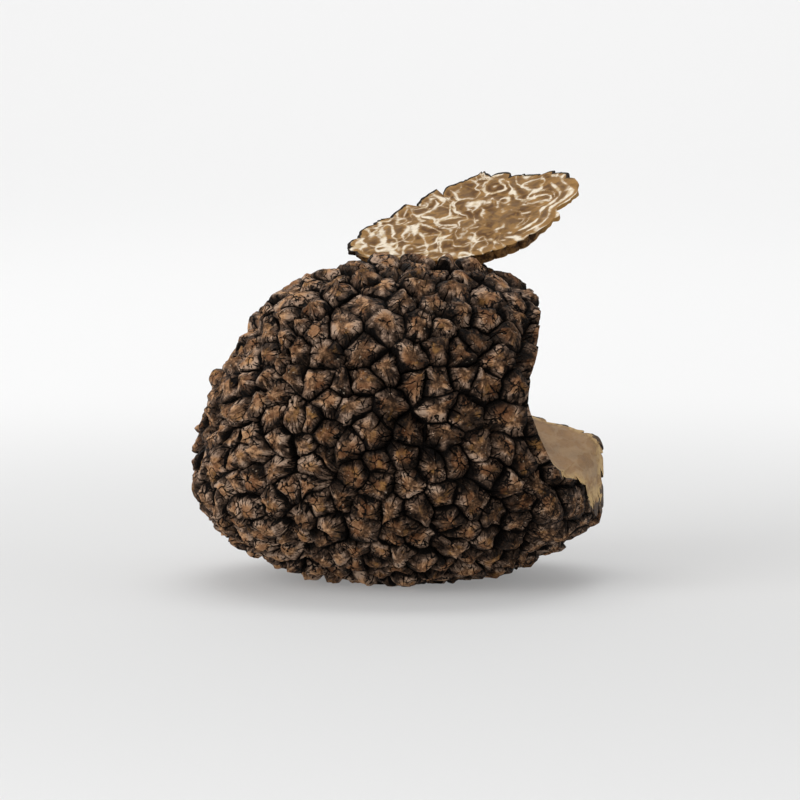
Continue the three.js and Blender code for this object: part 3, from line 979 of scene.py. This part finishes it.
def make_slice_flesh():
    """The slice's material: marbled brown flesh, a black skin round it and a rough brown edge."""
    material, tree = new_material("slice flesh")
    on_slice = on_map(tree, "on_slice")
    place = in_millimetres(tree)
    names = ("from_rim", "down", "skinned", "vein")
    from_rim, down, skinned, vein_at = (attribute(tree, name) for name in names)
    cloud = noise(tree, on_slice, 0.22)
    warm = noise(tree, on_slice, 0.5, Distortion=0.5)
    grain = from_group(tree, FINE_GRAIN, Place=place, Scale=3.5, Coarseness=0.55)
    fray = spread(tree, noise(tree, on_slice, 1.6, Detail=1), 0.04)
    cream = ramp(tree, noise(tree, on_slice, 0.7), 0.47, 0.68)
    cream = mix_colours(tree, cream, SLICE_CREAM, SLICE_BUFF)
    edge_grain = noise(tree, place, 0.9, Detail=3, Roughness=0.65)
    to_right = add_node(tree, "SeparateXYZ", {"Vector": on_slice}).outputs["X"]
    edge = paint(
        tree, EDGE_BROWN,
        (ramp(tree, edge_grain, 0.38, 0.64), EDGE_OCHRE),
        (ramp(tree, to_right, 10.5, 13.5, 0, 0.8), RIM_OCHRE),
    )
    depth = from_group(tree, RAGGED_DEPTH, Place=place, Scale=1.2, Depth=from_rim, Reach=0.12)
    skin = multiply(tree, ramp(tree, depth, 0.56, 0.36), skinned)
    colour = paint(
        tree, GLEBA_BROWN,
        (ramp(tree, cloud, 0.4, 0.62), GLEBA_GREY),
        (ramp(tree, warm, 0.48, 0.68, 0, 0.7), RIM_OCHRE),
        (ramp(tree, vein_at, -0.5, -0.05, 0, 0.5), RIM_OCHRE),
        (ramp(tree, from_rim, 1.8, 0.4, 0, 0.6), RIM_OCHRE),
        (ramp(tree, add_up(tree, vein_at, fray), -0.15, 0.16), cream),
        (ramp(tree, grain, 0.35, 0.65, 0.12, 0), EDGE_BROWN),
        (within(tree, (down, 0.02, 0.1), (down, 0.98, 0.9)), edge),
        (skin, SKIN_BLACK),
    )
    shine = ramp(tree, grain, 0.3, 0.7, 0.42, 0.6)
    return finish_surface(material, colour, shine, grain, strength=0.4, distance=0.08, specular=0.05)


CREASE = 50


def points_of(mesh):
    """The places of a mesh's points."""
    points = np.empty(3 * len(mesh.vertices))
    mesh.vertices.foreach_get("co", points)
    return points.reshape(-1, 3)


def finish_piece(name, mesh):
    """An object of a mesh moved from the body's middle to the table's frame, in metres.
    Its edges are sharp past the crease."""
    points = (points_of(mesh) + BODY_CENTRE) * MILLIMETRE
    mesh.vertices.foreach_set("co", points.ravel())
    mesh.shade_smooth()
    mesh.set_sharp_from_angle(angle=math.radians(CREASE))
    mesh.update()
    mesh.name = name
    return put_object(name, mesh)


def slice_surface(flat, lift):
    """The slice's upper face with the given lift, roughened by noise, most of all halfway down the edge."""
    smooth = slice_top(flat, lift)
    rough = FACE_ROUGHNESS + EDGE_ROUGHNESS * np.sin(math.pi * np.clip(-lift / SLICE_THICKNESS, 0, 1))
    return smooth + rough[..., None] * soft_drift(smooth, 0.9, 80)


def far_side(places):
    """1 on the far and left side of the slice, where its skin is seen, and 0 on the near right side."""
    return np.clip((places[:, 1] - 0.35 * places[:, 0] + 2.5) / 2, 0, 1)


def torn_rim(rim):
    """The rim with shallower scallops on the near side, and steps and thin spikes of skin on the far side.
    A step is height * (0.5 - distance along the scallop), changed by noise. A spike is
    reach * (1 - distance along the rim / half width), where that is above 0."""
    outwards = unit(rim)
    seen = far_side(rim)
    far = seen * np.clip((rim[:, 1] + 2) / 3, 0, 1) * np.clip((12 - rim[:, 0]) / 4, 0.35, 1)
    rim = rim - outwards * ((1 - NEAR_SCALLOPS) * (1 - seen) * scallops(len(rim)))[:, None]
    flat = at_level(rim)
    uneven = TEAR_STEP * (0.5 - along_scallop(len(rim))) * (0.8 + 1.3 * soft_noise(flat, 4.5, 88))
    uneven += 0.3 * soft_noise(flat, 1.1, 86)
    rim = rim + outwards * (uneven * far)[:, None]
    along = np.cumsum(lengths(np.diff(rim, axis=0, append=rim[:1])))
    chance = np.random.default_rng(31)
    for place, reach in zip(chance.uniform(0, along[-1], SPIKE_COUNT), chance.uniform(0.3, 1, SPIKE_COUNT)):
        spike = np.clip(1 - np.abs(along - place) / SPIKE_HALF_WIDTH, 0, None)
        rim = rim + outwards * (SPIKE_REACH * reach * spike * far)[:, None]
    return rim


smooth_rim = slice_rim(SLICE_STEPS, 0)
rim = torn_rim(smooth_rim)
outwards = np.linspace(0, 1, SLICE_RINGS + 1)[1:]
inwards = np.linspace(1, 0, SLICE_UNDER_RINGS + 1)[:-1]
shares = np.concatenate([outwards, np.ones(SLICE_EDGE_ROWS), inwards])
down_edge = np.linspace(0, SLICE_THICKNESS, SLICE_EDGE_ROWS + 2)[1:-1]
depths = np.concatenate([0 * outwards, down_edge, np.full(SLICE_UNDER_RINGS, SLICE_THICKNESS)])
slice_body, places, from_rim, down = slice_mesh("slice body", rim, shares, depths, slice_surface)
put_number(slice_body, "from_rim", from_rim, "POINT")
put_number(slice_body, "down", down, "POINT")
put_number(slice_body, "skinned", far_side(places), "POINT")
put_number(slice_body, "vein", vein_field(places, smooth_rim), "POINT")
corner_points = np.empty(len(slice_body.loops), int)
slice_body.loops.foreach_get("vertex_index", corner_points)
slice_body.uv_layers.new(name="on_slice").data.foreach_set("uv", places[corner_points].ravel())
slice_body.materials.append(make_slice_flesh())
slice_piece = finish_piece("marbled_slice", slice_body)
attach(slice_piece, "root")
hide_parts("slice")

# ---- the truffle, cut
# The bark is cut by the knife's two cuts, flattened where it rests on the table, and trimmed
# where it would touch the slice.

bark_material = make_bark()
flesh_material = make_cut_flesh()
whole = put_object("whole truffle", bark_mesh())
whole.data.materials.append(bark_material)


def room_for_slice():
    """The slice grown by the clearance, with free space above it."""
    heights = np.array([-FREE_SPACE_ABOVE, SLICE_THICKNESS + CLEARANCE])
    rim = slice_rim(ROOM_STEPS, CLEARANCE)
    return slice_mesh("room for the slice", rim, np.ones(2), heights, slice_top)[0]


UNDER_TABLE = (-60, -60, -84), (60, 60, -BODY_CENTRE[2])
profile = evenly(curve_through(CUT_PROFILE, 30, False), CUT_POINTS, False)
knives = [
    (swept_solid("side cut", profile, cut_place), flesh_material),
    (swept_solid("end shaving", shaving_profile(), shaving_place), flesh_material),
    (block_mesh("under the table", *UNDER_TABLE), bark_material),
    (room_for_slice(), bark_material),
]
cutters = []
for solid, material in knives:
    solid.materials.append(material)
    cutter = put_object(solid.name, solid)
    cutters.append(cutter)
    step = whole.modifiers.new(solid.name, "BOOLEAN")
    step.operation = "DIFFERENCE"
    step.object = cutter
    step.solver = "MANIFOLD"
    step.material_mode = "TRANSFER"

graph = bpy.context.evaluated_depsgraph_get()
cut_mesh = bpy.data.meshes.new_from_object(
    whole.evaluated_get(graph), preserve_all_data_layers=True, depsgraph=graph,
)
for thing in [whole, *cutters]:
    mesh = thing.data
    bpy.data.objects.remove(thing)
    bpy.data.meshes.remove(mesh)

inside = points_of(cut_mesh)
put_number(cut_mesh, "depth", body_radius(unit(inside)) - lengths(inside), "POINT")
truffle_piece = finish_piece("warted_truffle", cut_mesh)
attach(truffle_piece, "root")
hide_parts("truffle")

# ---- stage, light and camera
# A pale sheet of paper runs level under the truffle and curves up behind it. Four soft boxes light
# the truffle from above, the left, the right and the front, and a fifth lights the paper behind.

SWEEP_HALF_WIDTH = 3.0
SWEEP_FRONT = -2.0
SWEEP_BEND = 1.2
SWEEP_RADIUS = 1.5
SWEEP_TOP = 3.0


def sweep_mesh():
    """Level floor, a quarter circle and an upright wall, the same across its whole width."""
    turn = np.linspace(0, math.pi / 2, 33)
    bend = np.stack([SWEEP_BEND + SWEEP_RADIUS * np.sin(turn), SWEEP_RADIUS * (1 - np.cos(turn))], axis=1)
    line = np.concatenate([[[SWEEP_FRONT, 0]], bend, [[SWEEP_BEND + SWEEP_RADIUS, SWEEP_TOP]]])
    sides = np.array([-SWEEP_HALF_WIDTH, SWEEP_HALF_WIDTH])
    points = np.stack(np.broadcast_arrays(sides[:, None], line[:, 0], line[:, 1]), axis=-1)
    number = np.arange(points.size // 3).reshape(2, -1)
    quads = np.stack([number[0, :-1], number[1, :-1], number[1, 1:], number[0, 1:]], axis=-1)
    return put_mesh("sweep", points.reshape(-1, 3), quads.ravel(), np.full(len(quads), 4))


PAPER_PAINTED_SHADOW = (0.48, 0.48, 0.478, 1)
PAPER_PALE = (0.62, 0.62, 0.62, 1)


def make_paper():
    """Matt pale paper, a little greyer in the middle as a broad painted shadow round the truffle, that lets
    light through as on a light table.
    """
    material, tree = new_material("backdrop paper")
    place = add_node(tree, "TexCoord").outputs["Object"]
    off_middle = add_node(tree, "VectorMath", {0: place}, operation="LENGTH").outputs["Value"]
    # Painted shadow: the paper is greyer within about 60 mm of the middle, fading out by 290 mm.
    outwards = ramp(tree, off_middle, 60 * MILLIMETRE, 290 * MILLIMETRE)
    shader = add_node(tree, "BsdfPrincipled", {
        "Base Color": mix_colours(tree, outwards, PAPER_PAINTED_SHADOW, PAPER_PALE), "Roughness": 0.9,
        "Emission Color": (1, 1, 1, 1), "Emission Strength": 0.22,
    })
    add_node(tree, "OutputMaterial", {"Surface": shader.outputs[0]})
    return material


sweep = sweep_mesh()
sweep.materials.append(make_paper())
sweep.shade_smooth()
put_object("backdrop", sweep)

world = bpy.data.worlds.new("studio")
bpy.context.scene.world = world
world.use_nodes = True
background = world.node_tree.nodes["Background"].inputs
background["Color"].default_value = (1, 1, 1, 1)
background["Strength"].default_value = 0.32


def soft_box(name, place, target, size, power):
    """A square area light that faces a target."""
    light = bpy.data.lights.new(name, "AREA")
    light.shape = "SQUARE"
    light.size = size
    light.energy = power
    box = bpy.data.objects.new(name, light)
    box.location = place
    box.rotation_euler = (Vector(target) - Vector(place)).to_track_quat("-Z", "Y").to_euler()
    bpy.context.scene.collection.objects.link(box)


soft_box("overhead", (-0.1, 0.1, 0.55), (0, 0, 0.02), 1.1, 1.6)
soft_box("left window", (-0.65, -0.45, 0.38), (0, 0, 0.02), 0.7, 4.3)
soft_box("right card", (0.8, -0.1, 0.25), (0, 0, 0.02), 0.7, 1.1)
soft_box("front card", (0.0, -0.9, 0.12), (0, 0, 0.02), 0.5, 0.9)
soft_box("backdrop light", (0, 0.9, 2.2), (0, 2.4, 0.8), 1.6, 40.0)

PIVOT = np.array([0, 0, 0.025])
DISTANCE = 0.6
ELEVATION = math.radians(6)
AIM_RISE = 0.00204

camera_data = bpy.data.cameras.new("camera")
camera_data.sensor_width = 36
camera_data.lens = 177.6
camera = bpy.data.objects.new("camera", camera_data)
bpy.context.scene.collection.objects.link(camera)
raise_by = AIM_RISE * np.array([0, math.sin(ELEVATION), math.cos(ELEVATION)])
stand = PIVOT + DISTANCE * np.array([0, -math.cos(ELEVATION), math.sin(ELEVATION)]) + raise_by
camera.location = stand
camera.rotation_euler = Vector(PIVOT + raise_by - stand).to_track_quat("-Z", "Y").to_euler()
bpy.context.scene.camera = camera
bpy.context.scene.view_settings.view_transform = "Standard"
